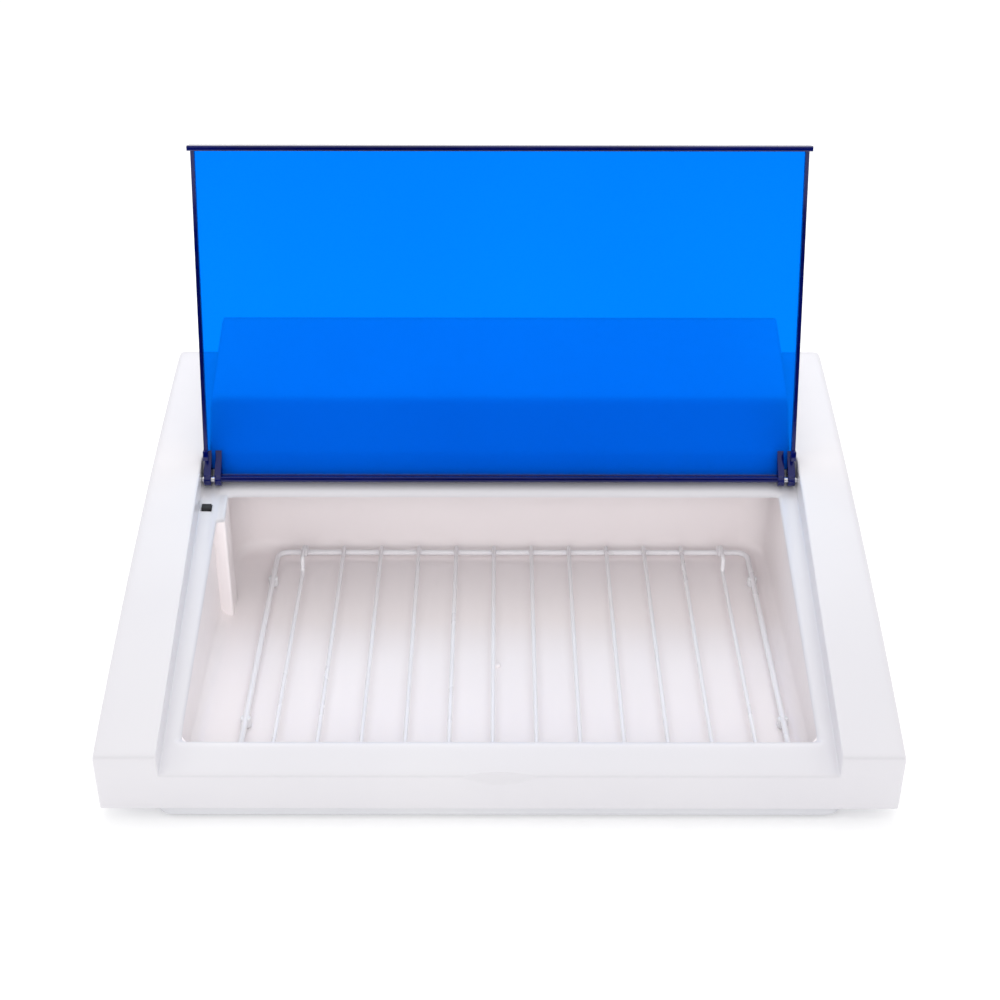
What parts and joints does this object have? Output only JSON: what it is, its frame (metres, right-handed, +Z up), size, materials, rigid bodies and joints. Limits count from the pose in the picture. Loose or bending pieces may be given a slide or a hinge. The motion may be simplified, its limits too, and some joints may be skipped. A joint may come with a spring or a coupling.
{
  "type": "ultraviolet steriliser box",
  "caption": "Tabletop ultraviolet steriliser box: a sloped white housing with a hinged blue lid, an inner tub, a lift-out wire rack and a lamp under the rear console.",
  "frame": {"origin": "middle of the footprint, on the table under the feet", "axes": "+X to the right seen from the open front, +Y to the rear panel, +Z up"},
  "size_m": [0.37, 0.266, 0.2497],
  "materials": {
    "white_housing": "satin",
    "white_tub": "satin",
    "white_base": "matte",
    "black_rubber": "matte",
    "screw_steel": "satin",
    "pin_steel": "polished",
    "blue_lid": "gloss",
    "black_plastic": "satin",
    "switch_plastic": "matte",
    "rocker_plastic": "gloss",
    "gland_plastic": "matte",
    "lamp_glass": "polished",
    "cap_aluminium": "satin",
    "holder_plastic": "matte",
    "reflector_aluminium": "polished",
    "lead_white": "matte",
    "lead_red": "matte",
    "lead_blue": "matte",
    "coated_wire": "gloss",
    "soft_cap": "matte"
  },
  "bodies": {
    "housing": {"shell_deck": "white_housing", "shell_rails": "white_housing", "shell_console": "white_housing", "shell_posts": "white_housing", "inner_tub": "white_tub", "base_pan": "white_base", "rubber_feet": "black_rubber", "case_screws": "screw_steel", "hinge_pins": "pin_steel", "switch_body": "switch_plastic", "switch_screws": "screw_steel", "rocker_frame": "black_plastic", "cord_gland": "gland_plastic", "gland_nut": "gland_plastic", "lamp_glass": "lamp_glass", "lamp_caps": "cap_aluminium", "lamp_holders": "holder_plastic", "lamp_reflector": "reflector_aluminium", "ballast_case": "holder_plastic", "ballast_screws": "screw_steel", "terminal_block": "holder_plastic", "lamp_leads": "lead_white", "switch_leads": "lead_red", "mains_leads": "lead_blue"},
    "lid": {"lid_panel": "blue_lid"},
    "plunger": {"switch_plunger": "black_plastic"},
    "rocker": {"rocker_button": "rocker_plastic"},
    "rack": {"rack_frame": "coated_wire", "rack_wires": "coated_wire", "rack_loops": "coated_wire", "rack_feet": "soft_cap"}
  },
  "joints": [
    {"name": "lid_hinge", "type": "hinge", "parent": "housing", "child": "lid", "pos_m": [0, 0.039, 0.08319], "axis": [1, 0, 0], "range_deg": [0, 122]},
    {"name": "switch_press", "type": "slide", "parent": "housing", "child": "plunger", "axis": [0, 0.284, -0.9588], "range_m": [0, 0.0014], "stiffness_N_per_m": 300, "springref_m": -0.002},
    {"name": "rocker_tilt", "type": "hinge", "parent": "housing", "child": "rocker", "pos_m": [0.118, 0.126, 0.052], "axis": [0, 0, 1], "range_deg": [-16, 0]},
    {"name": "rack_lift", "type": "slide", "parent": "housing", "child": "rack", "axis": [0, 0, 1], "range_m": [0, 0.02]}
  ]
}
